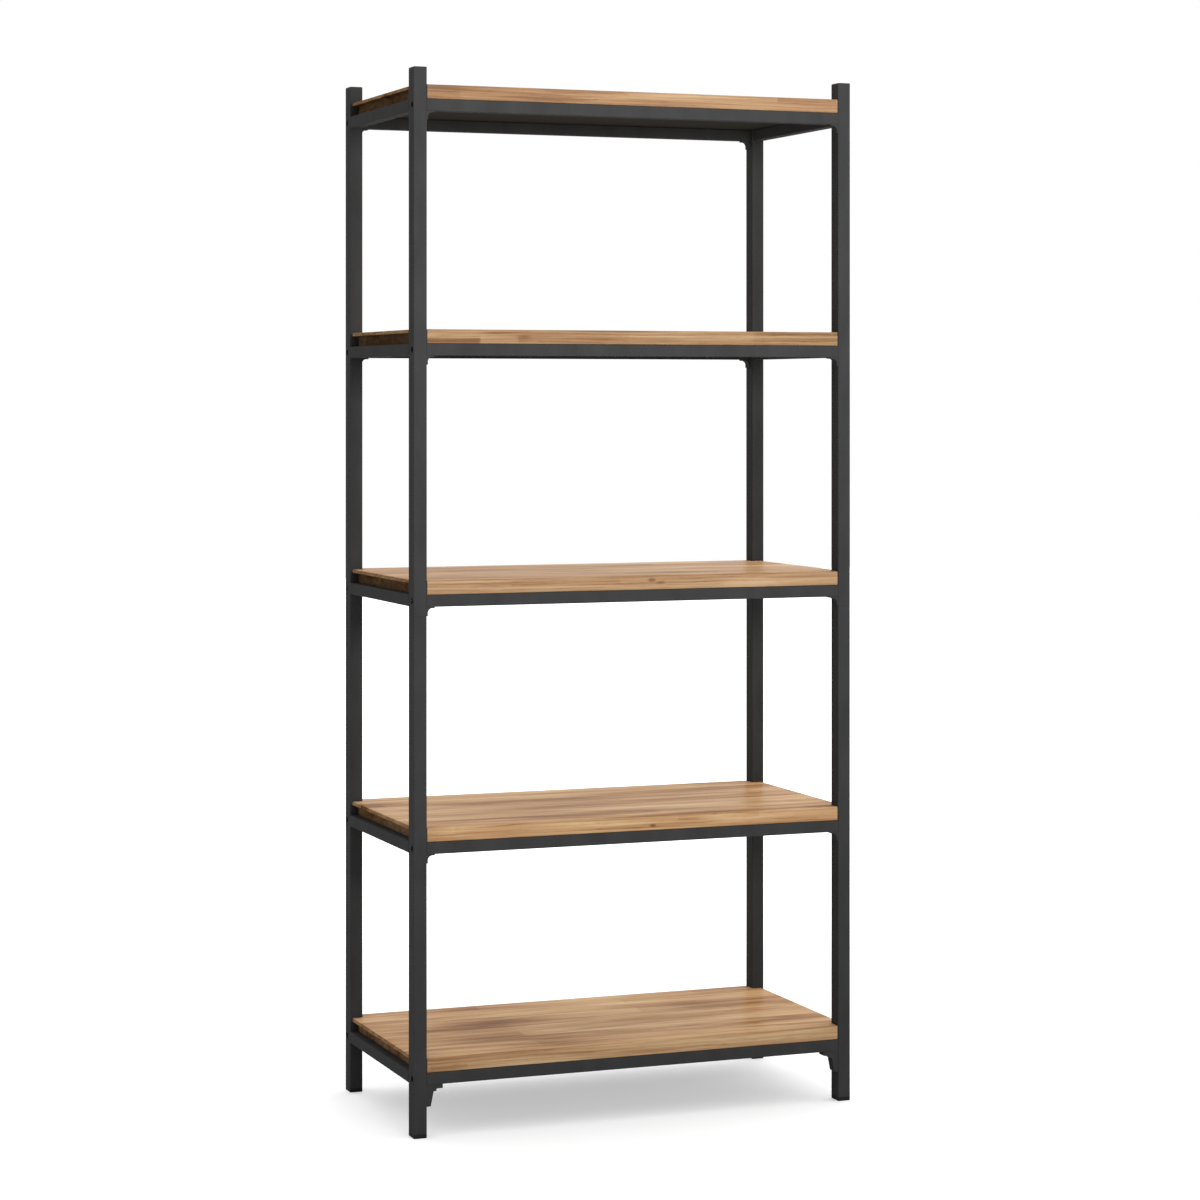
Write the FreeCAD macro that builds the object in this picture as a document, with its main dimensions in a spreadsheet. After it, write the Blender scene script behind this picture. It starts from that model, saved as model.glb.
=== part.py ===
import FreeCAD, Part
import os
import Sketcher

# A free-standing five-tier shelving unit. Two ladder-like side frames of steel tube are joined by
# bolted front and rear rails, and a solid wood board lies on the four rails of each tier.
# Millimetres, +Z up, the front faces -Y, and the origin is on the floor under the middle.

DIMENSIONS = {
    # Outside of the whole frame in plan.
    "overall_width": 800,
    "overall_depth": 400,
    # Floor to the underside of the lowest board, then from each board to the next one above it.
    "base_height": 108,
    "lower_step": 383,
    "middle_step": 411,
    "upper_step": 418,
    "top_step": 407,
    # Posts: rectangular tube, with the long side of its section running front to back.
    "post_width": 23,
    "post_depth": 29,
    "post_wall": 1.5,
    "post_corner": 1.5,
    "post_end_ease": 0.5,
    # Top of the highest board to the top of the caps.
    "post_rise": 29,
    # Underside of the middle rails to the seam between the post sections.
    "seam_drop": 16,
    # Joiners: tubes inside the posts, reaching equally far to both sides of the seam.
    "joiner_reach": 60,
    "joiner_wall": 2,
    "joiner_clearance": 0.2,
    # Caps and feet: a plate on the end of the tube and a plug inside it.
    "cap_thickness": 4,
    "cap_plug": 14,
    "foot_thickness": 7,
    "foot_plug": 20,
    "plug_clearance": 0.2,
    # Rails: square tube, flush with the outer faces of the posts.
    "rail_width": 20,
    "rail_height": 20,
    "rail_wall": 1.2,
    "rail_corner": 1.5,
    # Rail bolts, reached through a hole in the outer wall of the post.
    "bolt_diameter": 6,
    "bolt_head_diameter": 10,
    "bolt_head_height": 5,
    "bolt_socket": 2.3,
    "bolt_tail": 7,
    "bolt_clearance": 0.2,
    "access_clearance": 0.5,
    # Nut plates in the ends of the front and rear rails.
    "plate_thickness": 5,
    "plate_clearance": 0.1,
    # Boards: notched round the posts, with a lip along the upper edge of both ends.
    "board_thickness": 24,
    "board_gap": 1,
    "board_face_inset": 1,
    "board_end_inset": 4,
    "board_lip": 6,
    "board_rebate": 11,
    "board_arris": 2,
    # Screws that hold the boards down, sunk in the front and rear rails and driven up through them.
    "screw_diameter": 4,
    "screw_head_diameter": 8,
    "screw_head_height": 2.5,
    "screw_grip": 14,
    "screw_clearance": 0.2,
    "screw_offset": 290,
    # Corner brackets: bent strip under the rails, bearing on the inner faces of the posts.
    "bracket_inset": 1,
    "bracket_reach": 14,
    "bracket_drop": 15,
    "bracket_thickness": 2,
    "bracket_bend": 8,
    # Base brackets: larger and stepped, at the front of the lowest tier.
    "base_bracket_reach": 28,
    "base_bracket_drop": 36,
    "base_bracket_flange": 7,
    "base_bracket_step_reach": 17,
    "base_bracket_step_drop": 11,
    "base_bracket_root": 12,
    "base_bracket_tip": 7,
    "base_bracket_round": 1.5,
}

TIERS = ("base", "lower", "middle", "upper", "top")
SIDES = {"left": -1, "right": 1}
ENDS = {"front": -1, "rear": 1}
SECTIONS = {"lower": ("base", "lower"), "upper": ("middle", "upper", "top")}

# Places that several pieces share, written over the dimensions.
POST_X = "(dim.overall_width - dim.post_width) / 2"
POST_Y = "(dim.overall_depth - dim.post_depth) / 2"
POST_INNER_X = "(dim.overall_width / 2 - dim.post_width)"
POST_INNER_Y = "(dim.overall_depth / 2 - dim.post_depth)"
RAIL_X = "(dim.overall_width - dim.rail_width) / 2"
RAIL_Y = "(dim.overall_depth - dim.rail_width) / 2"
BOLT_OFFSET = "(dim.post_depth - dim.rail_width) / 2"
BORE_WIDTH = "(dim.post_width - 2 * dim.post_wall)"
BORE_DEPTH = "(dim.post_depth - 2 * dim.post_wall)"
BOLT_HOLE = "dim.bolt_diameter / 2 + dim.bolt_clearance"
ACCESS_HOLE = "dim.bolt_head_diameter / 2 + dim.access_clearance"
SCREW_HOLE = "dim.screw_diameter / 2 + dim.screw_clearance"
SCREW_ACCESS = "dim.screw_head_diameter / 2 + dim.access_clearance"


def board_underside(tier):
    steps = [f"dim.{name}_step" for name in TIERS[1:TIERS.index(tier) + 1]]
    return "(" + " + ".join(["dim.base_height"] + steps) + ")"


def rail_middle(tier):
    return f"({board_underside(tier)} - dim.rail_height / 2)"


def rail_underside(tier):
    return f"({board_underside(tier)} - dim.rail_height)"


SEAM = f"({rail_underside('middle')} - dim.seam_drop)"
CAP_SEAT = f"({board_underside('top')} + dim.board_thickness + dim.post_rise - dim.cap_thickness)"

doc = FreeCAD.newDocument("standing_shelving_unit")
dim = doc.addObject("Spreadsheet::Sheet", "dim")
for row, (alias, value) in enumerate(DIMENSIONS.items(), start=1):
    dim.set(f"A{row}", alias.replace("_", " "))
    dim.set(f"B{row}", str(value))
    dim.setAlias(f"B{row}", alias)
doc.recompute()

nodes = []


def new_body(label, is_node=True):
    """An empty body; a node is a piece that is written out under its label."""
    body = doc.addObject("PartDesign::Body", label)
    body.Label = label
    if is_node:
        nodes.append(body)
    return body


def place(thing, x, y, z):
    for axis, expression in zip("xyz", (x, y, z)):
        thing.setExpression(f"Placement.Base.{axis}", expression)


def box(body, kind, size, centre, bottom):
    """A box that is added or subtracted, centred in plan on a point and standing on a height."""
    feature = body.newObject(f"PartDesign::{kind}Box", f"{body.Label}_box")
    for name, expression in zip(("Length", "Width", "Height"), size):
        feature.setExpression(name, expression)
    place(feature, f"{centre[0]} - ({size[0]}) / 2", f"{centre[1]} - ({size[1]}) / 2", bottom)
    return feature


TURN_TO = {
    "x": FreeCAD.Rotation(FreeCAD.Vector(0, 1, 0), 90),
    "z": FreeCAD.Rotation(),
}


def hole(body, axis, radius, length, start):
    """A round hole from a start point along +X or +Z."""
    feature = body.newObject("PartDesign::SubtractiveCylinder", f"{body.Label}_hole")
    feature.setExpression("Radius", radius)
    feature.setExpression("Height", length)
    feature.Placement = FreeCAD.Placement(FreeCAD.Vector(), TURN_TO[axis])
    place(feature, *start)


def edges_along(shape, axis):
    found = []
    for number, edge in enumerate(shape.Edges, start=1):
        direction = edge.tangentAt(edge.FirstParameter)
        if abs(getattr(direction, axis)) > 0.999:
            found.append(f"Edge{number}")
    return found


def edges_at_height(shape, height):
    found = []
    for number, edge in enumerate(shape.Edges, start=1):
        extent = edge.BoundBox
        if abs(extent.ZMin - height) < 0.001 and abs(extent.ZMax - height) < 0.001:
            found.append(f"Edge{number}")
    return found


def round_edges(body, feature, edges, radius):
    rounding = body.newObject("PartDesign::Fillet", f"{body.Label}_rounding")
    rounding.Base = (feature, edges)
    rounding.setExpression("Radius", radius)
    return rounding


def tube(body, axis, size, bottom, wall, corner=None, eased_end=None):
    """A rectangular tube along an axis, centred in plan, open at both ends."""
    outside = box(body, "Additive", size, ("0", "0"), bottom)
    if corner:
        doc.recompute()
        outside = round_edges(body, outside, edges_along(outside.Shape, axis), corner)
    if eased_end:
        doc.recompute()
        rim = edges_at_height(outside.Shape, float(dim.evalExpression(eased_end)))
        round_edges(body, outside, rim, "dim.post_end_ease")
    inside = [way if way_axis == axis else f"({way}) - 2 * {wall}" for way_axis, way in zip("xyz", size)]
    box(body, "Subtractive", inside, ("0", "0"), bottom if axis == "z" else f"{bottom} + {wall}")


def wall_hole(body, side, radius, width, wall, y, z):
    """A hole along X through the wall on one side of a tube of a given width."""
    start = f"{side} * (({width}) - {wall}) / 2 - {wall}"
    hole(body, "x", radius, f"2 * {wall}", (start, y, z))


def outline(body, plane, corners):
    """A closed sketch through corners, each of which is a pair of expressions."""
    sketch = body.newObject("Sketcher::SketchObject", f"{body.Label}_outline")
    support = next(part for part in body.Origin.OriginFeatures if part.Role == plane)
    sketch.AttachmentSupport = [(support, "")]
    sketch.MapMode = "FlatFace"
    points = [FreeCAD.Vector(*[float(dim.evalExpression(way)) for way in corner]) for corner in corners]
    following = points[1:] + points[:1]
    for point, next_point in zip(points, following):
        sketch.addGeometry(Part.LineSegment(point, next_point))
    for number in range(len(points)):
        joined = Sketcher.Constraint("Coincident", number, 2, (number + 1) % len(points), 1)
        sketch.addConstraint(joined)
    for number, (corner, point) in enumerate(zip(corners, points)):
        for kind, expression, start in zip(("DistanceX", "DistanceY"), corner, (point.x, point.y)):
            index = sketch.addConstraint(Sketcher.Constraint(kind, number, 1, start))
            sketch.setExpression(f"Constraints[{index}]", expression)
    return sketch


def pad(body, sketch, length, symmetric=False):
    feature = body.newObject("PartDesign::Pad", f"{body.Label}_pad")
    feature.Profile = sketch
    if symmetric:
        feature.SideType = "Symmetric"
    feature.setExpression("Length", length)
    return feature


def revolve(body, sketch, axis):
    feature = body.newObject("PartDesign::Revolution", f"{body.Label}_turned")
    feature.Profile = sketch
    feature.ReferenceAxis = (sketch, [axis])
    feature.Angle = 360


def copy_at(original, label, half_turned, x, y, z):
    """A copy of a repeated piece, turned half round the vertical where it faces the other way."""
    link = doc.addObject("App::Link", label)
    link.LinkedObject = original
    turn = FreeCAD.Rotation(FreeCAD.Vector(0, 0, 1), 180 if half_turned else 0)
    link.Placement = FreeCAD.Placement(FreeCAD.Vector(), turn)
    place(link, x, y, z)
    return link


def group(label, copies):
    together = doc.addObject("Part::Compound", label)
    together.Label = label
    together.Links = copies
    nodes.append(together)


def make_post(end, side, section):
    """One section of a post, eased at the seam and drilled at the height of each rail it carries."""
    body = new_body(f"post_{end}_{side}_{section}")
    bottom, top = ("dim.foot_thickness", SEAM) if section == "lower" else (SEAM, CAP_SEAT)
    size = ("dim.post_width", "dim.post_depth", f"{top} - {bottom}")
    tube(body, "z", size, bottom, "dim.post_wall", "dim.post_corner", eased_end=SEAM)
    outer = SIDES[side]
    bolt_y = f"{ENDS[end]} * {BOLT_OFFSET}"
    for tier in SECTIONS[section]:
        height = rail_middle(tier)
        wall_hole(body, -outer, BOLT_HOLE, "dim.post_width", "dim.post_wall", bolt_y, height)
        wall_hole(body, outer, ACCESS_HOLE, "dim.post_width", "dim.post_wall", bolt_y, height)
    place(body, f"{outer} * {POST_X}", f"{ENDS[end]} * {POST_Y}", "0")


def make_joiner(end, side):
    """A tube inside both post sections, pinned by the bolt of the middle rail."""
    body = new_body(f"post_joiner_{end}_{side}")
    width = f"({BORE_WIDTH} - 2 * dim.joiner_clearance)"
    depth = f"({BORE_DEPTH} - 2 * dim.joiner_clearance)"
    tube(body, "z", (width, depth, "2 * dim.joiner_reach"), f"{SEAM} - dim.joiner_reach", "dim.joiner_wall")
    outer = SIDES[side]
    bolt_y = f"{ENDS[end]} * {BOLT_OFFSET}"
    height = rail_middle("middle")
    wall_hole(body, -outer, BOLT_HOLE, width, "dim.joiner_wall", bolt_y, height)
    wall_hole(body, outer, ACCESS_HOLE, width, "dim.joiner_wall", bolt_y, height)
    place(body, f"{outer} * {POST_X}", f"{ENDS[end]} * {POST_Y}", "0")


def make_plug(label, thickness, plug, points_down):
    """A cap or a foot: a rounded plate over the end of a post, with a plug inside the tube."""
    body = new_body(label)
    plate = box(body, "Additive", ("dim.post_width", "dim.post_depth", thickness), ("0", "0"), "0")
    doc.recompute()
    free_face = 0 if points_down else plate.Shape.BoundBox.ZMax
    edges = edges_along(plate.Shape, "z") + edges_at_height(plate.Shape, free_face)
    round_edges(body, plate, edges, "dim.post_corner")
    width = f"{BORE_WIDTH} - 2 * dim.plug_clearance"
    depth = f"{BORE_DEPTH} - 2 * dim.plug_clearance"
    box(body, "Additive", (width, depth, plug), ("0", "0"), thickness if points_down else f"-{plug}")
    return body


def make_cross_rail(end, tier):
    """A front or rear rail between the posts; two board screws sit inside it, under its upper wall."""
    body = new_body(f"{end}_rail_{tier}")
    size = (f"2 * {POST_INNER_X}", "dim.rail_width", "dim.rail_height")
    tube(body, "x", size, "0", "dim.rail_wall", "dim.rail_corner")
    for side in SIDES.values():
        x = f"{side} * dim.screw_offset"
        hole(body, "z", SCREW_ACCESS, "2 * dim.rail_wall", (x, "0", "0"))
        hole(body, "z", SCREW_HOLE, "2 * dim.rail_wall", (x, "0", "dim.rail_height - 2 * dim.rail_wall"))
    place(body, "0", f"{ENDS[end]} * {RAIL_Y}", rail_underside(tier))


def make_side_rail(side, tier):
    """A left or right rail, welded between the front and the rear post."""
    body = new_body(f"{side}_rail_{tier}")
    size = ("dim.rail_width", f"2 * {POST_INNER_Y}", "dim.rail_height")
    tube(body, "y", size, "0", "dim.rail_wall", "dim.rail_corner")
    place(body, f"{SIDES[side]} * {RAIL_X}", "0", rail_underside(tier))


def make_board(tier):
    """A solid wood board, notched round the four posts, rebated under both ends and eased on top."""
    body = new_body(f"shelf_board_{tier}")
    end_x = "(dim.overall_width / 2 - dim.board_end_inset)"
    face_y = "(dim.overall_depth / 2 - dim.board_face_inset)"
    notch_x = f"({POST_INNER_X} - dim.board_gap)"
    notch_y = f"({POST_INNER_Y} - dim.board_gap)"
    corner = [(end_x, notch_y), (notch_x, notch_y), (notch_x, face_y)]
    corners = []
    for x_sign, y_sign in ((1, 1), (-1, 1), (-1, -1), (1, -1)):
        turned = corner if x_sign == y_sign else corner[::-1]
        corners += [(f"{x_sign} * {x}", f"{y_sign} * {y}") for x, y in turned]
    plank = pad(body, outline(body, "XY_Plane", corners), "dim.board_thickness")
    doc.recompute()
    upper_edges = edges_at_height(plank.Shape, plank.Shape.BoundBox.ZMax)
    round_edges(body, plank, upper_edges, "dim.board_arris")
    rebate = ("dim.board_rebate", f"2 * {notch_y}", "dim.board_thickness - dim.board_lip")
    for side in SIDES.values():
        box(body, "Subtractive", rebate, (f"{side} * ({end_x} - dim.board_rebate / 2)", "0"), "0")
    for side in SIDES.values():
        for end in ENDS.values():
            start = (f"{side} * dim.screw_offset", f"{end} * {RAIL_Y}", "0")
            hole(body, "z", SCREW_HOLE, "dim.screw_grip + dim.screw_clearance", start)
    place(body, "0", "0", board_underside(tier))


def bolt_original():
    """A socket-head bolt along X; the seat of its head is at the origin."""
    body = new_body("rail_bolt", is_node=False)
    radius = "dim.bolt_diameter / 2"
    head = "dim.bolt_head_diameter / 2"
    tip = "dim.post_wall + dim.plate_thickness + dim.bolt_tail"
    top = "-dim.bolt_head_height"
    corners = [(top, "0"), (tip, "0"), (tip, radius), ("0", radius), ("0", head), (top, head)]
    revolve(body, outline(body, "XY_Plane", corners), "H_Axis")
    socket = body.newObject("PartDesign::SubtractivePrism", "rail_bolt_socket")
    socket.Polygon = 6
    socket.setExpression("Circumradius", "dim.bolt_socket")
    socket.setExpression("Height", "dim.bolt_head_height / 2")
    socket.Placement = FreeCAD.Placement(FreeCAD.Vector(), TURN_TO["x"])
    place(socket, top, "0", "0")
    return body


def plate_original():
    """A nut plate that fills the end of a rail; its outer face is at the origin."""
    body = new_body("rail_nut_plate", is_node=False)
    width = "dim.rail_width - 2 * (dim.rail_wall + dim.plate_clearance)"
    height = "(dim.rail_height - 2 * (dim.rail_wall + dim.plate_clearance))"
    size = ("dim.plate_thickness", width, height)
    box(body, "Additive", size, ("dim.plate_thickness / 2", "0"), f"-{height} / 2")
    hole(body, "x", BOLT_HOLE, "dim.plate_thickness", ("0", "0", "0"))
    return body


def screw_original():
    """A pan-head wood screw pointing up; the seat of its head is at the origin."""
    body = new_body("board_screw", is_node=False)
    radius = "dim.screw_diameter / 2"
    head = "dim.screw_head_diameter / 2"
    tip = "dim.rail_wall + dim.screw_grip"
    shoulder = f"{tip} - dim.screw_diameter"
    low = "-dim.screw_head_height"
    corners = [("0", low), (head, low), (head, "0"), (radius, "0"), (radius, shoulder), ("0", tip)]
    revolve(body, outline(body, "XZ_Plane", corners), "V_Axis")
    return body


def bracket_width():
    return "dim.rail_width - 2 * dim.bracket_inset"


def bracket_original():
    """A bent strip: one leg under the rail along +X, one leg down the post at x = 0."""
    body = new_body("corner_bracket", is_node=False)
    thick = "dim.bracket_thickness"
    reach = "dim.bracket_reach"
    drop = "-dim.bracket_drop"
    corners = [
        ("0", "0"),
        (reach, "0"),
        (reach, f"-{thick}"),
        (thick, f"-{thick}"),
        (thick, drop),
        ("0", drop),
    ]
    strip = pad(body, outline(body, "XZ_Plane", corners), bracket_width(), symmetric=True)
    doc.recompute()
    inner = float(dim.evalExpression(thick))
    inside_edges = []
    for number, edge in enumerate(strip.Shape.Edges, start=1):
        middle = edge.CenterOfMass
        if abs(middle.x - inner) < 0.001 and abs(middle.z + inner) < 0.001:
            inside_edges.append(f"Edge{number}")
    round_edges(body, strip, inside_edges, "dim.bracket_bend")
    return body


def base_bracket_original():
    """A stepped bracket with a thick flange under the rail and a tapering leg down the post."""
    body = new_body("base_bracket", is_node=False)
    reach = "dim.base_bracket_reach"
    flange = "-dim.base_bracket_flange"
    step_reach = "dim.base_bracket_step_reach"
    step_drop = "-dim.base_bracket_step_drop"
    drop = "-dim.base_bracket_drop"
    corners = [
        ("0", "0"),
        (reach, "0"),
        (reach, flange),
        (step_reach, flange),
        (step_reach, step_drop),
        ("dim.base_bracket_root", step_drop),
        ("dim.base_bracket_tip", drop),
        ("0", drop),
    ]
    plate = pad(body, outline(body, "XZ_Plane", corners), bracket_width(), symmetric=True)
    doc.recompute()
    free_edges = []
    for name in edges_along(plate.Shape, "y"):
        middle = plate.Shape.getElement(name).CenterOfMass
        if middle.x > 0.001 and middle.z < -0.001:
            free_edges.append(name)
    round_edges(body, plate, free_edges, "dim.base_bracket_round")
    return body


def make_brackets(tier, bracket, base_bracket):
    copies = []
    for end, end_sign in ENDS.items():
        original = base_bracket if (tier, end) == ("base", "front") else bracket
        for side, side_sign in SIDES.items():
            corner = (f"{side_sign} * {POST_INNER_X}", f"{end_sign} * {RAIL_Y}", rail_underside(tier))
            copies.append(copy_at(original, f"bracket_{end}_{side}_{tier}", side == "right", *corner))
    group(f"corner_brackets_{tier}", copies)


def make_rail_fasteners(bolt, plate):
    """Bolts and nut plates at both ends of every front and rear rail."""
    bolts = []
    plates = []
    for tier in TIERS:
        seat = f"({POST_INNER_X} + dim.post_wall)"
        if tier == "middle":
            seat = f"({POST_INNER_X} + dim.post_wall + dim.joiner_clearance + dim.joiner_wall)"
        for end, end_sign in ENDS.items():
            y = f"{end_sign} * {RAIL_Y}"
            z = rail_middle(tier)
            for side, sign in SIDES.items():
                name = f"{end}_{side}_{tier}"
                is_right = side == "right"
                bolts.append(copy_at(bolt, f"bolt_{name}", is_right, f"{sign} * {seat}", y, z))
                plates.append(copy_at(plate, f"plate_{name}", is_right, f"{sign} * {POST_INNER_X}", y, z))
    group("rail_bolts", bolts)
    group("rail_nut_plates", plates)


def make_board_screws(screw):
    copies = []
    for tier in TIERS:
        for end, end_sign in ENDS.items():
            for side, side_sign in SIDES.items():
                x = f"{side_sign} * dim.screw_offset"
                seat = f"{board_underside(tier)} - dim.rail_wall"
                name = f"screw_{end}_{side}_{tier}"
                copies.append(copy_at(screw, name, False, x, f"{end_sign} * {RAIL_Y}", seat))
    group("board_screws", copies)


for end, end_sign in ENDS.items():
    for side, side_sign in SIDES.items():
        corner = (f"{side_sign} * {POST_X}", f"{end_sign} * {POST_Y}")
        for section in SECTIONS:
            make_post(end, side, section)
        make_joiner(end, side)
        foot = make_plug(f"foot_{end}_{side}", "dim.foot_thickness", "dim.foot_plug", points_down=True)
        place(foot, *corner, "0")
        cap = make_plug(f"top_cap_{end}_{side}", "dim.cap_thickness", "dim.cap_plug", points_down=False)
        place(cap, *corner, CAP_SEAT)

bracket = bracket_original()
base_bracket = base_bracket_original()
for tier in TIERS:
    for end in ENDS:
        make_cross_rail(end, tier)
    for side in SIDES:
        make_side_rail(side, tier)
    make_board(tier)
    make_brackets(tier, bracket, base_bracket)
make_rail_fasteners(bolt_original(), plate_original())
make_board_screws(screw_original())
doc.recompute()

for thing in doc.Objects:
    if "Invalid" in thing.State or "Error" in thing.State:
        raise RuntimeError(f"{thing.Label} did not build: {thing.State}")
for node in nodes:
    if node.Shape.isNull() or not node.Shape.isValid():
        raise RuntimeError(f"{node.Label} has no valid shape")

os.makedirs("parts", exist_ok=True)
for node in nodes:
    node.Shape.exportStep(f"parts/{node.Label}.step")
print(f"{len(nodes)} nodes, {sum(len(node.Shape.Solids) for node in nodes)} solids")
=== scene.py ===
import math

import bpy
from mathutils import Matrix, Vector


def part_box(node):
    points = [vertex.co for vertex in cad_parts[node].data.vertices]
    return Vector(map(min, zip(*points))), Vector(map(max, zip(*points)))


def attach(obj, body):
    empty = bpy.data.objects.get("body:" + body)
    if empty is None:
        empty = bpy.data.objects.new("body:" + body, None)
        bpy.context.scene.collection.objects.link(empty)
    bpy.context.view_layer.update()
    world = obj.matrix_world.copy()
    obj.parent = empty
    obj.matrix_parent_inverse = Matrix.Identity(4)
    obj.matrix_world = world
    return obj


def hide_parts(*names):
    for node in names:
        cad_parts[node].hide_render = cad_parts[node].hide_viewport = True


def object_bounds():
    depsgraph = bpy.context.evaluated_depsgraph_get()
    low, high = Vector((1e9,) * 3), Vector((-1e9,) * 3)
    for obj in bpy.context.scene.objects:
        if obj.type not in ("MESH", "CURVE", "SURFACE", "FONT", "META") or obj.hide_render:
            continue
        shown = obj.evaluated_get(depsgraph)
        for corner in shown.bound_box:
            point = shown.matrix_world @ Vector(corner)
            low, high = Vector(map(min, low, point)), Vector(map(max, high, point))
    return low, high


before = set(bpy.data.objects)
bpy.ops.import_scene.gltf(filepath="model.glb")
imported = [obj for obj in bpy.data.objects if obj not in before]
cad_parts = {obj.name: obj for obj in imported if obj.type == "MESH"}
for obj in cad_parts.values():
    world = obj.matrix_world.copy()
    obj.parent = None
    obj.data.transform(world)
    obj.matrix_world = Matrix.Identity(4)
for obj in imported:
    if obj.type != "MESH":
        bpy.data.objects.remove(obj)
cad_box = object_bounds()

# Posts: four upright tubes of rectangular steel section, each in a lower and an upper length.
# The steel is sprayed with charcoal polyester powder and baked, bolt holes and all, and the two
# lengths of a post meet under the middle tier.

CORNERS = ("front_left", "front_right", "rear_left", "rear_right")
POST_LENGTHS = ("lower", "upper")
FILM_CLOUD_MM = (40, 40, 90)
ORANGE_PEEL_MM = (2.5, 2.5, 2.5)
PAINT_TONES = ((0.3, "#323232"), (0.7, "#383838"))


def linear(code):
    """An sRGB hex colour as linear light, with full alpha."""
    channels = [int(code[start:start + 2], 16) / 255 for start in (1, 3, 5)]
    light = [c / 12.92 if c <= 0.04045 else ((c + 0.055) / 1.055) ** 2.4 for c in channels]
    return (*light, 1.0)


def new_material(name):
    """An empty node material, its node tree and its principled shader."""
    material = bpy.data.materials.new(name)
    material.use_nodes = True
    return material, material.node_tree, material.node_tree.nodes["Principled BSDF"]


def add(tree, kind, settings=None, **inputs):
    """A node with its settings. Each input is a value to set or an output socket to link, and is
    named as on the node, with _ for a space, or by its number, as in _0."""
    node = tree.nodes.new("ShaderNode" + kind)
    for name, value in (settings or {}).items():
        setattr(node, name, value)
    for name, value in inputs.items():
        socket = node.inputs[int(name[1:]) if name[1:].isdigit() else name.replace("_", " ")]
        if isinstance(value, bpy.types.NodeSocket):
            tree.links.new(value, socket)
        else:
            socket.default_value = value
    return node


def per_mm(*lengths):
    """Mapping scale, per metre, of a pattern whose features are so many millimetres long."""
    return [1000 / length for length in lengths]


def powder_coat():
    # Baked polyester powder: an even charcoal with a dull sheen, faintly mottled where the film
    # is thicker, with the soft dimples of orange peel. The dimples are about 1 mm on the real
    # coat and are drawn at 2.5 mm, so that they still show from across a room.
    material, tree, shader = new_material("powder_coated_steel_satin_charcoal")
    place = add(tree, "TexCoord").outputs["Object"]
    film = add(tree, "Mapping", Vector=place, Scale=per_mm(*FILM_CLOUD_MM))
    cloud = add(tree, "TexNoise", Vector=film.outputs["Vector"], Scale=1.0, Detail=3.0)
    colour = add(tree, "ValToRGB", Fac=cloud.outputs["Fac"])
    for stop, (position, code) in zip(colour.color_ramp.elements, PAINT_TONES):
        stop.position = position
        stop.color = linear(code)
    tree.links.new(colour.outputs["Color"], shader.inputs["Base Color"])
    gloss = add(tree, "MapRange", Value=cloud.outputs["Fac"], To_Min=0.7, To_Max=0.8)
    tree.links.new(gloss.outputs["Result"], shader.inputs["Roughness"])
    dimple = add(tree, "Mapping", Vector=place, Scale=per_mm(*ORANGE_PEEL_MM))
    peel = add(tree, "TexNoise", Vector=dimple.outputs["Vector"], Scale=1.0, Detail=1.0)
    bump = add(tree, "Bump", Height=peel.outputs["Fac"], Strength=0.15, Distance=0.0002)
    tree.links.new(bump.outputs["Normal"], shader.inputs["Normal"])
    shader.inputs["IOR"].default_value = 1.5
    shader.inputs["Specular IOR Level"].default_value = 0.01
    return material


def dress(names, material):
    """Gives carried-over frame pieces their finish."""
    for name in names:
        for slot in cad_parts[name].material_slots:
            slot.material = material


charcoal_coat = powder_coat()
dress([f"post_{corner}_{length}" for corner in CORNERS for length in POST_LENGTHS], charcoal_coat)

# Joiners: short square-cornered tubes that slide inside both lengths of a post and hold them in
# line. They are bare drawn steel, out of sight once the post is together.

DRAW_LINE_MM = (0.8, 0.8, 60)


def drawn_steel():
    # Cold-drawn steel with a film of oil: mid grey, brushed along its length by the die, with
    # thin dull streaks. The draw lines are finer than 0.1 mm and are drawn at 0.8 mm.
    material, tree, shader = new_material("cold_drawn_steel_oiled")
    place = add(tree, "TexCoord").outputs["Object"]
    lines = add(tree, "Mapping", Vector=place, Scale=per_mm(*DRAW_LINE_MM))
    streak = add(tree, "TexNoise", Vector=lines.outputs["Vector"], Scale=1.0, Detail=3.0)
    colour = add(tree, "ValToRGB", Fac=streak.outputs["Fac"])
    colour.color_ramp.elements[0].color = linear("#8A8A88")
    colour.color_ramp.elements[1].color = linear("#B4B3B0")
    tree.links.new(colour.outputs["Color"], shader.inputs["Base Color"])
    gloss = add(tree, "MapRange", Value=streak.outputs["Fac"], To_Min=0.28, To_Max=0.45)
    tree.links.new(gloss.outputs["Result"], shader.inputs["Roughness"])
    shader.inputs["Metallic"].default_value = 1.0
    return material


dress([f"post_joiner_{corner}" for corner in CORNERS], drawn_steel())

# Caps and feet: injection-moulded plugs pressed into the ends of the posts, with rounded plates
# that close the tube. The caps match the paint, and the feet are black nylon.

SPARK_GRAIN_MM = (1, 1, 1)


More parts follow.
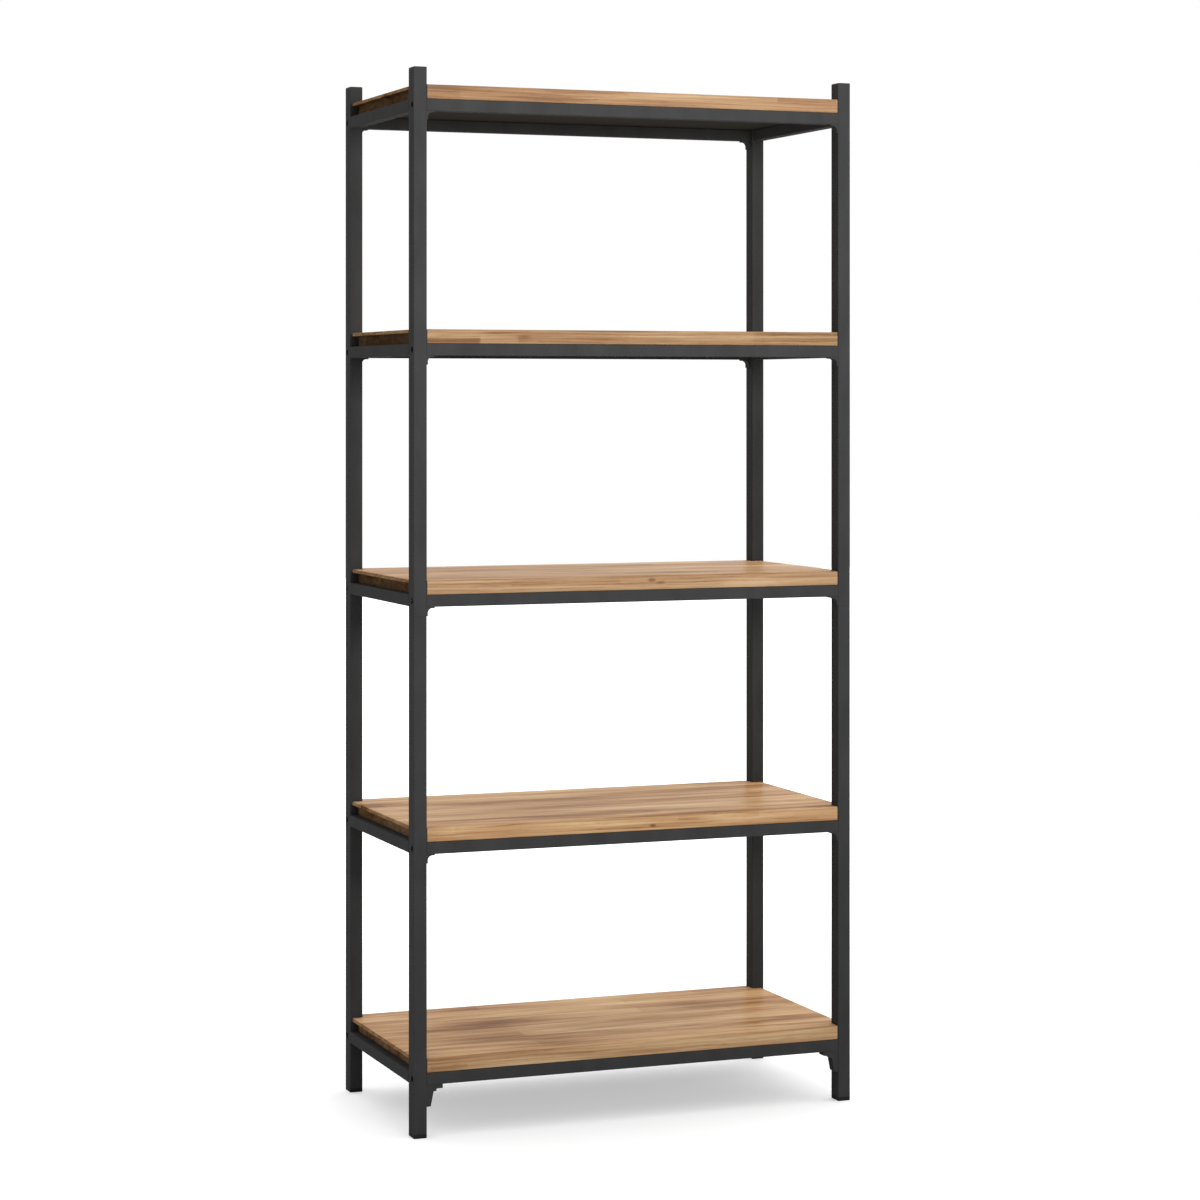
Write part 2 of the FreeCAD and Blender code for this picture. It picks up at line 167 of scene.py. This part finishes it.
def moulded_plastic(name, dark, light, roughness):
    # Spark-eroded moulds leave a fine even grain that scatters the highlight, so the plastic
    # looks dry beside the paint. The grain is about 0.2 mm and is drawn at 1 mm.
    material, tree, shader = new_material(name)
    place = add(tree, "TexCoord").outputs["Object"]
    grit = add(tree, "Mapping", Vector=place, Scale=per_mm(*SPARK_GRAIN_MM))
    grain = add(tree, "TexNoise", Vector=grit.outputs["Vector"], Scale=1.0, Detail=2.0)
    colour = add(tree, "ValToRGB", Fac=grain.outputs["Fac"])
    colour.color_ramp.elements[0].color = linear(dark)
    colour.color_ramp.elements[1].color = linear(light)
    tree.links.new(colour.outputs["Color"], shader.inputs["Base Color"])
    bump = add(tree, "Bump", Height=grain.outputs["Fac"], Strength=0.25, Distance=0.0001)
    tree.links.new(bump.outputs["Normal"], shader.inputs["Normal"])
    shader.inputs["Roughness"].default_value = roughness
    shader.inputs["IOR"].default_value = 1.5
    shader.inputs["Specular IOR Level"].default_value = 0.03
    return material


cap_plastic = moulded_plastic("moulded_abs_spark_grain_charcoal", "#303030", "#383838", roughness=0.6)
foot_plastic = moulded_plastic("moulded_nylon_spark_grain_black", "#1E1E1E", "#272727", roughness=0.65)
dress([f"top_cap_{corner}" for corner in CORNERS], cap_plastic)
dress([f"foot_{corner}" for corner in CORNERS], foot_plastic)

# Rails and brackets: square steel tube between the posts, with pressed strip brackets in the
# corners below. Side rails and brackets are welded, and all of it is coated with the posts.

TIERS = ("base", "lower", "middle", "upper", "top")
RAIL_SIDES = ("front", "rear", "left", "right")

dress([f"{side}_rail_{tier}" for side in RAIL_SIDES for tier in TIERS], charcoal_coat)
dress([f"corner_brackets_{tier}" for tier in TIERS], charcoal_coat)

# Fasteners: socket bolts through the posts into nut plates in the rail ends, and pan-head screws
# up through the rails into the boards. All are steel, chemically blackened.

TURNING_MARK_MM = (1.5, 1.5, 1.5)


def blackened_steel():
    # Black oxide over steel: nearly black with a brownish cast, a little polished where a tool
    # has turned on it. The turning marks are fine and are drawn at 1.5 mm.
    material, tree, shader = new_material("black_oxide_steel_turned")
    place = add(tree, "TexCoord").outputs["Object"]
    marks = add(tree, "Mapping", Vector=place, Scale=per_mm(*TURNING_MARK_MM))
    rub = add(tree, "TexNoise", Vector=marks.outputs["Vector"], Scale=1.0, Detail=2.0)
    colour = add(tree, "ValToRGB", Fac=rub.outputs["Fac"])
    colour.color_ramp.elements[0].color = linear("#2A2827")
    colour.color_ramp.elements[1].color = linear("#4A4745")
    tree.links.new(colour.outputs["Color"], shader.inputs["Base Color"])
    gloss = add(tree, "MapRange", Value=rub.outputs["Fac"], To_Min=0.35, To_Max=0.55)
    tree.links.new(gloss.outputs["Result"], shader.inputs["Roughness"])
    shader.inputs["Metallic"].default_value = 1.0
    return material


dress(["rail_bolts", "rail_nut_plates", "board_screws"], blackened_steel())

# Boards: solid acacia glued up from staves, planed, notched round the posts and rebated under
# both ends, where the upper part runs on over the side rails. The arrises are sanded round and
# the wood is sealed with a dull lacquer.

# Sizes in metres, and the angles and limits by which faces and edges are picked out.
POST_GAP = 0.001
POST_WIDTH = 0.023
POST_DEPTH = 0.029
LIP = 0.006
REBATE = 0.011
ARRIS = 0.002
END_ARRIS = 0.0025
NEAR = 0.00005
SQUARE_ON = 0.9
LONG_EDGE = 0.1
FLAT_ANGLE = math.radians(1)
SMOOTH_ANGLE = math.radians(35)

# Layers of the grain: length, width and thickness of its features in millimetres, and how finely
# they are broken up. The weights say how much a layer counts in the tone.
GRAIN = {
    "band": (420, 80, 40, 2.0),
    "streak": (320, 26, 7, 3.0),
    "line": (220, 8, 3, 2.0),
    "fibre": (180, 2.5, 2, 2.0),
    "blush": (300, 45, 30, 1.0),
    "pore": (24, 1.2, 1.2, 1.0),
}
GRAIN_WEIGHT = {"band": 0.88, "streak": 1.0, "line": 0.78, "fibre": 0.5}
PORE_DEPTH = 0.16
# The grain wanders by up to half of this to the side and upwards, over these lengths.
WANDER = (0.0, 0.015, 0.007)
WANDER_MM = (240, 150, 110)
# Each board is cut from another place in the grain.
BOARD_SEED = {"base": 3.1, "lower": 11.7, "middle": 24.2, "upper": 37.9, "top": 52.4}
# Staves of the tops: size in metres, shift of every other row as a share of the length, and how
# much lighter or darker than the plain wood they are.
STAVE_LENGTH = 0.42
STAVE_WIDTH = 0.04
STAVE_SHIFT = 0.37
STAVE_TONE = 0.08
# Streaks that stand out in the tops: middle across and to the back, length and width, all in
# millimetres, and how dark it is, below zero for a light one.
TOP_FIGURE = {
    "base": ((-190, 40, 360, 110, 0.41), (-160, 165, 420, 34, 0.2), (-90, -55, 220, 22, -0.2),
             (-120, -160, 300, 34, 0.18), (60, 50, 360, 200, -0.26), (140, -100, 100, 16, 0.2),
             (330, -90, 140, 44, 0.18)),
    "lower": ((-220, 60, 240, 60, 0.2), (270, 110, 180, 44, 0.16), (270, -75, 100, 22, 0.24),
              (-120, -120, 280, 44, -0.14), (150, -180, 170, 22, 0.16)),
    "middle": ((-180, 60, 340, 80, 0.16), (120, 110, 280, 70, 0.14), (-180, -100, 240, 60, -0.14),
               (120, 0, 220, 60, -0.12)),
    "upper": ((-150, 40, 300, 50, 0.15), (180, -60, 260, 50, 0.15)),
    "top": ((-120, -50, 320, 60, 0.15), (200, 70, 280, 50, 0.15)),
}
# Knots and streaks in the front and rear edges: middle across and above the underside, length
# and height in millimetres, and how dark it is.
EDGE_FIGURE = {
    "base": ((-60, 11, 340, 12, 0.1), (200, 6, 200, 7, 0.1)),
    "lower": ((28, 8, 16, 8, 0.55), (-180, 15, 300, 9, 0.16), (90, 15, 120, 11, 0.14)),
    "middle": ((26, 17, 22, 10, 0.45), (42, 12, 26, 7, 0.35), (-180, 14, 140, 7, 0.1)),
    "upper": ((-250, 18, 110, 6, 0.3), (-205, 10, 40, 18, 0.2), (270, 18, 200, 6, 0.25),
              (-345, 14, 60, 8, 0.15)),
    "top": ((60, 10, 340, 8, 0.16), (-130, 18, 170, 7, 0.14), (-200, 6, 200, 6, 0.12)),
}
# Staves whose square ends show in the edges, given in the same way and even over this share.
EDGE_STAVES = {
    "base": ((-338, 8, 66, 6, 0.12),),
    "lower": ((150, 19, 154, 10, 0.1), (-352, 18, 50, 12, -0.08)),
    "middle": ((-130, 16, 200, 12, 0.08), (250, 7, 180, 12, -0.06)),
    "upper": ((-330, 5, 94, 11, 0.24), (-249, 7, 68, 14, -0.14), (100, 12, 240, 24, -0.05)),
    "top": ((-348, 12, 60, 24, 0.08), (318, 20, 116, 8, 0.2)),
}
STAVE_EVEN = 0.95
# Tone from dark to light, with the plain wood in the middle.
WOOD_DARK = (0.1, "#805934")
WOOD_LIGHT = (0.9, "#DDBB91")
WOOD_BETWEEN = ((0.3, "#A3764D"), (0.5, "#BC9368"), (0.7, "#CDA77B"))
# How red the reddest wood goes, and how far sanding dust greys the sawn edges, as shares.
BLUSH = 0.28
EDGE_GREY = {"base": 0.09, "lower": 0.04, "middle": 0.17, "upper": 0.12, "top": 0.17}
# How much light the planed tops, the sawn edges, the tips and the end grain in the rebates give back. The
# per-tier values for the edges and the rebates hold painted shade as well as the wood's own tone.
TOP_SHADE = 1.04
# Sawn edges: their own darker tone plus painted shade against the front light, varied per tier.
EDGE_TONE_AND_PAINTED_SHADE = {"base": 0.7, "lower": 0.72, "middle": 0.63, "upper": 0.51, "top": 0.59}
TIP_SHADE = 0.4
# The rebates hold dark end grain and, beyond that, painted shade from the lip above, set per tier and
# darkest on the upper tiers.
REBATE_TONE_AND_PAINTED_SHADE = {"base": 0.28, "lower": 0.26, "middle": 0.19, "upper": 0.15, "top": 0.17}
# Depths in metres between which these set in: in from the edges, the tips and the end faces of the
# rebates, and up from the undersides of the lip and of the board.
EDGE_FADE = (0.003, 0.001)
TIP_FADE = (0.002, 0.0005)
REBATE_FADE = (0.001, 0.0005)
LIP_FADE = (0.0004, 0.0002)
UNDER_FADE = 0.001


def board_marks(tier, low, flat, edge):
    """Marks of one board: middle in metres, size in millimetres, darkness, the mask of the faces
    that show it, and the share over which it is even."""
    marks = [((x / 1000, y / 1000, 0.0), (long_mm, wide_mm, math.inf), dark, flat, 0.0)
             for x, y, long_mm, wide_mm, dark in TOP_FIGURE[tier]]
    for table, even in ((EDGE_FIGURE, 0.0), (EDGE_STAVES, STAVE_EVEN)):
        marks += [((x / 1000, 0.0, low.z + z / 1000), (long_mm, math.inf, high_mm), dark, edge, even)
                  for x, z, long_mm, high_mm, dark in table[tier]]
    return marks


def lacquered_acacia(tier, low, high):
    # Long honey and brown streaks that wander a little, a redder cast in places, short dark pores,
    # staves of slightly different tone, dark end grain, and knots and the square ends of staves in
    # the front and rear edges. The lacquer is thin and even, so the tops show a dim, soft
    # reflection at a low angle. Fibres and pores are about 0.3 mm wide on real wood and are drawn
    # at 1.2 mm and more.
    material, tree, shader = new_material(f"lacquered_acacia_staves_{tier}")
    seed = BOARD_SEED[tier]
    place = add(tree, "TexCoord").outputs["Object"]
    along = add(tree, "SeparateXYZ", Vector=place)
    depth = add(tree, "Math", {"operation": "ABSOLUTE"}, _0=along.outputs["Y"])
    edge = add(tree, "MapRange", Value=depth.outputs[0],
               From_Min=high.y - EDGE_FADE[0], From_Max=high.y - EDGE_FADE[1])
    flat = add(tree, "MapRange", Value=edge.outputs["Result"], To_Min=1.0, To_Max=0.0)
    # Grain lines wander sideways by a few millimetres over a hand's breadth.
    bend_size = add(tree, "Mapping", Vector=place, Location=(seed, seed, seed), Scale=per_mm(*WANDER_MM))
    bend = add(tree, "TexNoise", Vector=bend_size.outputs["Vector"], Scale=1.0, Detail=2.0)
    swing = add(tree, "VectorMath", {"operation": "SUBTRACT"}, _0=bend.outputs["Color"], _1=(0.5, 0.5, 0.5))
    wander = add(tree, "VectorMath", {"operation": "MULTIPLY_ADD"},
                 _0=swing.outputs["Vector"], _1=WANDER, _2=place)
    grain_line = wander.outputs["Vector"]
    layers = {}
    for name, (long_mm, wide_mm, thick_mm, detail) in GRAIN.items():
        size = add(tree, "Mapping", Vector=grain_line, Location=(seed, seed * 2, seed * 3),
                   Scale=per_mm(long_mm, wide_mm, thick_mm))
        layer = add(tree, "TexNoise", Vector=size.outputs["Vector"], Scale=1.0, Detail=detail)
        layers[name] = layer.outputs["Fac"]
    # Weigh the layers into one tone from dark to light, with the plain wood at one half.
    total = 0.5 - 0.5 * sum(GRAIN_WEIGHT.values())
    for name, weight in GRAIN_WEIGHT.items():
        total = add(tree, "Math", {"operation": "MULTIPLY_ADD"},
                    _0=layers[name], _1=weight, _2=total).outputs[0]
    pits = add(tree, "MapRange", Value=layers["pore"],
               From_Min=0.58, From_Max=0.72, To_Min=0.0, To_Max=-PORE_DEPTH)
    total = add(tree, "Math", {"operation": "ADD"}, _0=total, _1=pits.outputs["Result"]).outputs[0]
    # Each stave of the glued-up top has its own tone.
    laid = add(tree, "Mapping", Vector=place, Location=(seed, seed * 2, 0.0))
    stave = add(tree, "TexBrick", {"offset": STAVE_SHIFT, "offset_frequency": 2},
                Vector=laid.outputs["Vector"], Color1=linear("#000000"), Color2=linear("#FFFFFF"),
                Scale=1.0, Mortar_Size=0.0, Brick_Width=STAVE_LENGTH, Row_Height=STAVE_WIDTH)
    tone = add(tree, "MapRange", Value=stave.outputs["Color"], To_Min=-STAVE_TONE, To_Max=STAVE_TONE)
    total = add(tree, "Math", {"operation": "MULTIPLY_ADD"},
                _0=tone.outputs["Result"], _1=flat.outputs["Result"], _2=total).outputs[0]
    # Streaks and knots fade out from their middle; staves are even up to their square ends.
    for middle, size, dark, faces, even in board_marks(tier, low, flat, edge):
        scale = [2 * rate for rate in per_mm(*size)]
        offset = [-way * rate for way, rate in zip(middle, scale)]
        spot = add(tree, "Mapping", Vector=place if even else grain_line, Location=offset, Scale=scale)
        if even:
            ways = add(tree, "VectorMath", {"operation": "ABSOLUTE"}, _0=spot.outputs["Vector"])
            sides = add(tree, "SeparateXYZ", Vector=ways.outputs["Vector"])
            away = add(tree, "Math", {"operation": "MAXIMUM"}, _0=sides.outputs["X"], _1=sides.outputs["Z"])
        else:
            away = add(tree, "VectorMath", {"operation": "LENGTH"}, _0=spot.outputs["Vector"])
        fade = add(tree, "MapRange", {"interpolation_type": "SMOOTHSTEP"}, Value=away.outputs["Value"],
                   From_Min=even, To_Min=-dark, To_Max=0.0)
        total = add(tree, "Math", {"operation": "MULTIPLY_ADD"},
                    _0=fade.outputs["Result"], _1=faces.outputs["Result"], _2=total).outputs[0]
    colour = add(tree, "ValToRGB", Fac=total)
    ramp = colour.color_ramp
    for stop, (position, code) in zip(ramp.elements, (WOOD_DARK, WOOD_LIGHT)):
        stop.position = position
        stop.color = linear(code)
    for position, code in WOOD_BETWEEN:
        ramp.elements.new(position).color = linear(code)
    redness = add(tree, "MapRange", Value=layers["blush"],
                  From_Min=0.45, From_Max=0.75, To_Min=0.0, To_Max=BLUSH)
    red = add(tree, "Mix", {"data_type": "RGBA"}, _0=redness.outputs["Result"],
              _6=colour.outputs["Color"], _7=linear("#AA714A"))
    greyness = add(tree, "Math", {"operation": "MULTIPLY"}, _0=edge.outputs["Result"], _1=EDGE_GREY[tier])
    sanded = add(tree, "Mix", {"data_type": "RGBA"}, _0=greyness.outputs[0],
                 _6=red.outputs[2], _7=linear("#B4A596"))
    # End grain drinks the lacquer and goes dark and dull, and the rebates are darker still with painted
    # shade under the lip. The sawn edges are darker than the planed faces, partly with painted shade, and
    # the underside and the first millimetre above it are painted nearly black as painted shade and left
    # dull.
    width = add(tree, "Math", {"operation": "ABSOLUTE"}, _0=along.outputs["X"])
    tip = add(tree, "MapRange", Value=width.outputs[0],
              From_Min=high.x - TIP_FADE[0], From_Max=high.x - TIP_FADE[1])
    inner = add(tree, "MapRange", Value=width.outputs[0],
                From_Min=high.x - REBATE - REBATE_FADE[0], From_Max=high.x - REBATE - REBATE_FADE[1])
    below = add(tree, "MapRange", Value=along.outputs["Z"],
                From_Min=high.z - LIP + LIP_FADE[0], From_Max=high.z - LIP + LIP_FADE[1])
    rebate = add(tree, "Math", {"operation": "MULTIPLY"},
                 _0=inner.outputs["Result"], _1=below.outputs["Result"])
    under = add(tree, "MapRange", Value=along.outputs["Z"],
                From_Min=low.z, From_Max=low.z + UNDER_FADE, To_Min=1.0, To_Max=0.0)
    # The edge and rebate factors below are partly the wood's own tone and partly painted shade.
    dim = add(tree, "MapRange", Value=edge.outputs["Result"], To_Min=TOP_SHADE, To_Max=EDGE_TONE_AND_PAINTED_SHADE[tier])
    for mask, shade in ((tip, TIP_SHADE), (rebate, REBATE_TONE_AND_PAINTED_SHADE[tier])):
        darker = add(tree, "MapRange", Value=mask.outputs[0], To_Min=1.0, To_Max=shade)
        dim = add(tree, "Math", {"operation": "MULTIPLY"}, _0=dim.outputs[0], _1=darker.outputs["Result"])
    shaded = add(tree, "VectorMath", {"operation": "SCALE"}, _0=sanded.outputs[2], Scale=dim.outputs[0])
    # Painted shade: the underside is mixed to near black.
    colour_with_painted_underside_shade = add(tree, "Mix", {"data_type": "RGBA"}, _0=under.outputs["Result"],
                  _6=shaded.outputs["Vector"], _7=linear("#2C2925"))
    tree.links.new(colour_with_painted_underside_shade.outputs[2], shader.inputs["Base Color"])
    gloss = add(tree, "MapRange", Value=layers["fibre"], To_Min=0.32, To_Max=0.42)
    for mask in (tip, rebate, under):
        gloss = add(tree, "Math", {"operation": "MAXIMUM"}, _0=gloss.outputs[0], _1=mask.outputs[0])
    tree.links.new(gloss.outputs[0], shader.inputs["Roughness"])
    bump = add(tree, "Bump", Height=layers["fibre"], Strength=0.2, Distance=0.0002)
    tree.links.new(bump.outputs["Normal"], shader.inputs["Normal"])
    shader.inputs["IOR"].default_value = 1.5
    shader.inputs["Specular IOR Level"].default_value = 0.015
    return material


def select_faces(piece, wanted):
    """In edit mode, selects just the faces whose middle and normal the test accepts."""
    bpy.ops.mesh.select_all(action="DESELECT")
    bpy.ops.object.mode_set(mode="OBJECT")
    for face in piece.data.polygons:
        face.select = wanted(face.center, face.normal)
    bpy.ops.object.mode_set(mode="EDIT")


def select_edges(piece, wanted):
    """In edit mode, selects just the edges whose two ends the test accepts."""
    bpy.ops.mesh.select_all(action="DESELECT")
    bpy.ops.object.mode_set(mode="OBJECT")
    points = piece.data.vertices
    for edge in piece.data.edges:
        edge.select = wanted(points[edge.vertices[0]].co, points[edge.vertices[1]].co)
    bpy.ops.object.mode_set(mode="EDIT")


def cut(point, normal):
    """In edit mode, scores the whole mesh along a plane."""
    bpy.ops.mesh.select_all(action="SELECT")
    bpy.ops.mesh.bisect(plane_co=point, plane_no=normal)


notch_x = cad_box[1][0] - POST_WIDTH - POST_GAP
notch_y = cad_box[1][1] - POST_DEPTH - POST_GAP
for tier in TIERS:
    low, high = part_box(f"shelf_board_{tier}")
    lip_bottom = high.z - LIP
    bpy.ops.object.select_all(action="DESELECT")
    bpy.ops.mesh.primitive_cube_add(size=1, location=(low + high) / 2,
                                    scale=(2 * notch_x, high.y - low.y, high.z - low.z))
    board = bpy.context.object
    board.name = f"acacia_board_{tier}"
    board.data.name = board.name
    bpy.ops.object.transform_apply(location=True, rotation=True, scale=True)
    bpy.ops.object.mode_set(mode="EDIT")
    bpy.ops.mesh.select_mode(type="FACE")
    # Between the posts each end runs on to the side rails, the upper part further than the rest.
    cut((0, notch_y, 0), (0, 1, 0))
    cut((0, -notch_y, 0), (0, 1, 0))
    cut((0, 0, lip_bottom), (0, 0, 1))
    for side in (-1, 1):
        select_faces(board, lambda c, n: n.x * side > SQUARE_ON and abs(c.y) < notch_y)
        bpy.ops.mesh.extrude_region_move(
            TRANSFORM_OT_translate={"value": (side * (high.x - REBATE - notch_x), 0, 0)})
        select_faces(board, lambda c, n: n.x * side > SQUARE_ON and abs(c.y) < notch_y and c.z > lip_bottom)
        bpy.ops.mesh.extrude_region_move(TRANSFORM_OT_translate={"value": (side * REBATE, 0, 0)})
    bpy.ops.mesh.select_all(action="SELECT")
    bpy.ops.mesh.remove_doubles(threshold=NEAR)
    bpy.ops.mesh.dissolve_limited(angle_limit=FLAT_ANGLE)
    bpy.ops.mesh.normals_make_consistent(inside=False)
    # Sand the upper arrises and those along the front and rear rails, the ends a little more.
    bpy.ops.mesh.select_mode(type="EDGE")
    select_edges(board, lambda a, b: min(abs(a.x), abs(b.x)) > high.x - NEAR
                 and min(a.z, b.z) > high.z - NEAR)
    bpy.ops.mesh.bevel(offset=END_ARRIS, segments=4, affect="EDGES")
    select_edges(board, lambda a, b: abs(a.x - b.x) > LONG_EDGE
                 and min(abs(a.y), abs(b.y)) > high.y - NEAR)
    bpy.ops.mesh.bevel(offset=ARRIS, segments=3, affect="EDGES")
    bpy.ops.object.mode_set(mode="OBJECT")
    bpy.ops.object.shade_smooth_by_angle(angle=SMOOTH_ANGLE)
    board.data.materials.append(lacquered_acacia(tier, low, high))
    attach(board, "root")
    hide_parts(f"shelf_board_{tier}")

# Studio: pale paper on the floor that runs into a white backdrop, a gridded soft box in front that
# lights the upper half most, and a white room that is brighter behind and on the right. The paper
# keeps the shadow under the unit and glows to white further out.

FLOOR_SIZE = 30.0
SHADOW_RADIUS = 1.1
WHITE_RADIUS = 2.2
SHADOW_GLOW = 0.385
WHITE_GLOW = 0.8
ROOM_SIDE = (0.7, 0.62, 0.42)
ROOM_LOW = 0.28
ROOM_HIGH = 1.88
KEY_PLACE = (0.1, -4.4, 1.85)
KEY_AIM = (0.0, 0.0, 1.75)
KEY_SIZE = (0.9, 0.9)
KEY_POWER = 18.0
KEY_SPREAD = math.radians(54)
CAMERA_PLACE = (-1.9715, -5.1427, 1.2358)
CAMERA_YAW = math.radians(21.051)
CAMERA_SENSOR = 36.0
CAMERA_LENS = 93.67
CAMERA_SHIFT = -0.1715


def seen_directly(tree):
    """1 for rays from the camera, a reflection or a clear material, and 0 for lighting rays."""
    path = add(tree, "LightPath")
    two = add(tree, "Math", {"operation": "MAXIMUM"}, _0=path.outputs["Is Camera Ray"],
              _1=path.outputs["Is Glossy Ray"])
    three = add(tree, "Math", {"operation": "MAXIMUM"}, _0=two.outputs[0],
                _1=path.outputs["Is Transmission Ray"])
    return three.outputs[0]


bpy.ops.mesh.primitive_plane_add(size=FLOOR_SIZE)
floor = bpy.context.object
floor.name = "studio_floor"
# Uncoated paper: flat and pale, with no gloss at all.
paper, tree, shader = new_material("uncoated_paper_matt_pale")
shader.inputs["Base Color"].default_value = linear("#DEDEDE")
shader.inputs["Roughness"].default_value = 1.0
shader.inputs["Specular IOR Level"].default_value = 0.0
tree.links.new(seen_directly(tree), shader.inputs["Emission Strength"])
place = add(tree, "TexCoord").outputs["Object"]
distance = add(tree, "VectorMath", {"operation": "LENGTH"}, _0=place)
glow = add(tree, "MapRange", {"interpolation_type": "SMOOTHSTEP"}, Value=distance.outputs["Value"],
           From_Min=SHADOW_RADIUS, From_Max=WHITE_RADIUS, To_Min=SHADOW_GLOW, To_Max=WHITE_GLOW)
tree.links.new(glow.outputs["Result"], shader.inputs["Emission Color"])
floor.data.materials.append(paper)

room = bpy.data.worlds.new("white_room")
bpy.context.scene.world = room
room.use_nodes = True
tree = room.node_tree
background = tree.nodes["Background"]
background.inputs["Color"].default_value = linear("#FFFFFF")
heading = add(tree, "TexCoord").outputs["Generated"]
lean = add(tree, "VectorMath", {"operation": "DOT_PRODUCT"}, _0=heading, _1=ROOM_SIDE)
room_level = add(tree, "MapRange", Value=lean.outputs["Value"],
                 From_Min=-1.0, From_Max=1.0, To_Min=ROOM_LOW, To_Max=ROOM_HIGH)
level = add(tree, "Mix", {"data_type": "FLOAT"}, _0=seen_directly(tree),
            _2=room_level.outputs["Result"], _3=1.0)
tree.links.new(level.outputs[0], background.inputs["Strength"])

bpy.ops.object.light_add(type="AREA", location=KEY_PLACE)
key_lamp = bpy.context.object
key_lamp.name = "key_softbox"
key_lamp.data.shape = "RECTANGLE"
key_lamp.data.size, key_lamp.data.size_y = KEY_SIZE
key_lamp.data.energy = KEY_POWER
key_lamp.data.spread = KEY_SPREAD
key_lamp.visible_glossy = False
to_lamp = Vector(KEY_PLACE) - Vector(KEY_AIM)
key_lamp.rotation_euler = to_lamp.to_track_quat("Z", "Y").to_euler()

bpy.ops.object.camera_add(location=CAMERA_PLACE, rotation=(math.radians(90), 0, -CAMERA_YAW))
camera = bpy.context.object
camera.data.sensor_width = CAMERA_SENSOR
camera.data.lens = CAMERA_LENS
camera.data.shift_y = CAMERA_SHIFT
bpy.context.scene.camera = camera
bpy.context.scene.view_settings.view_transform = "Standard"
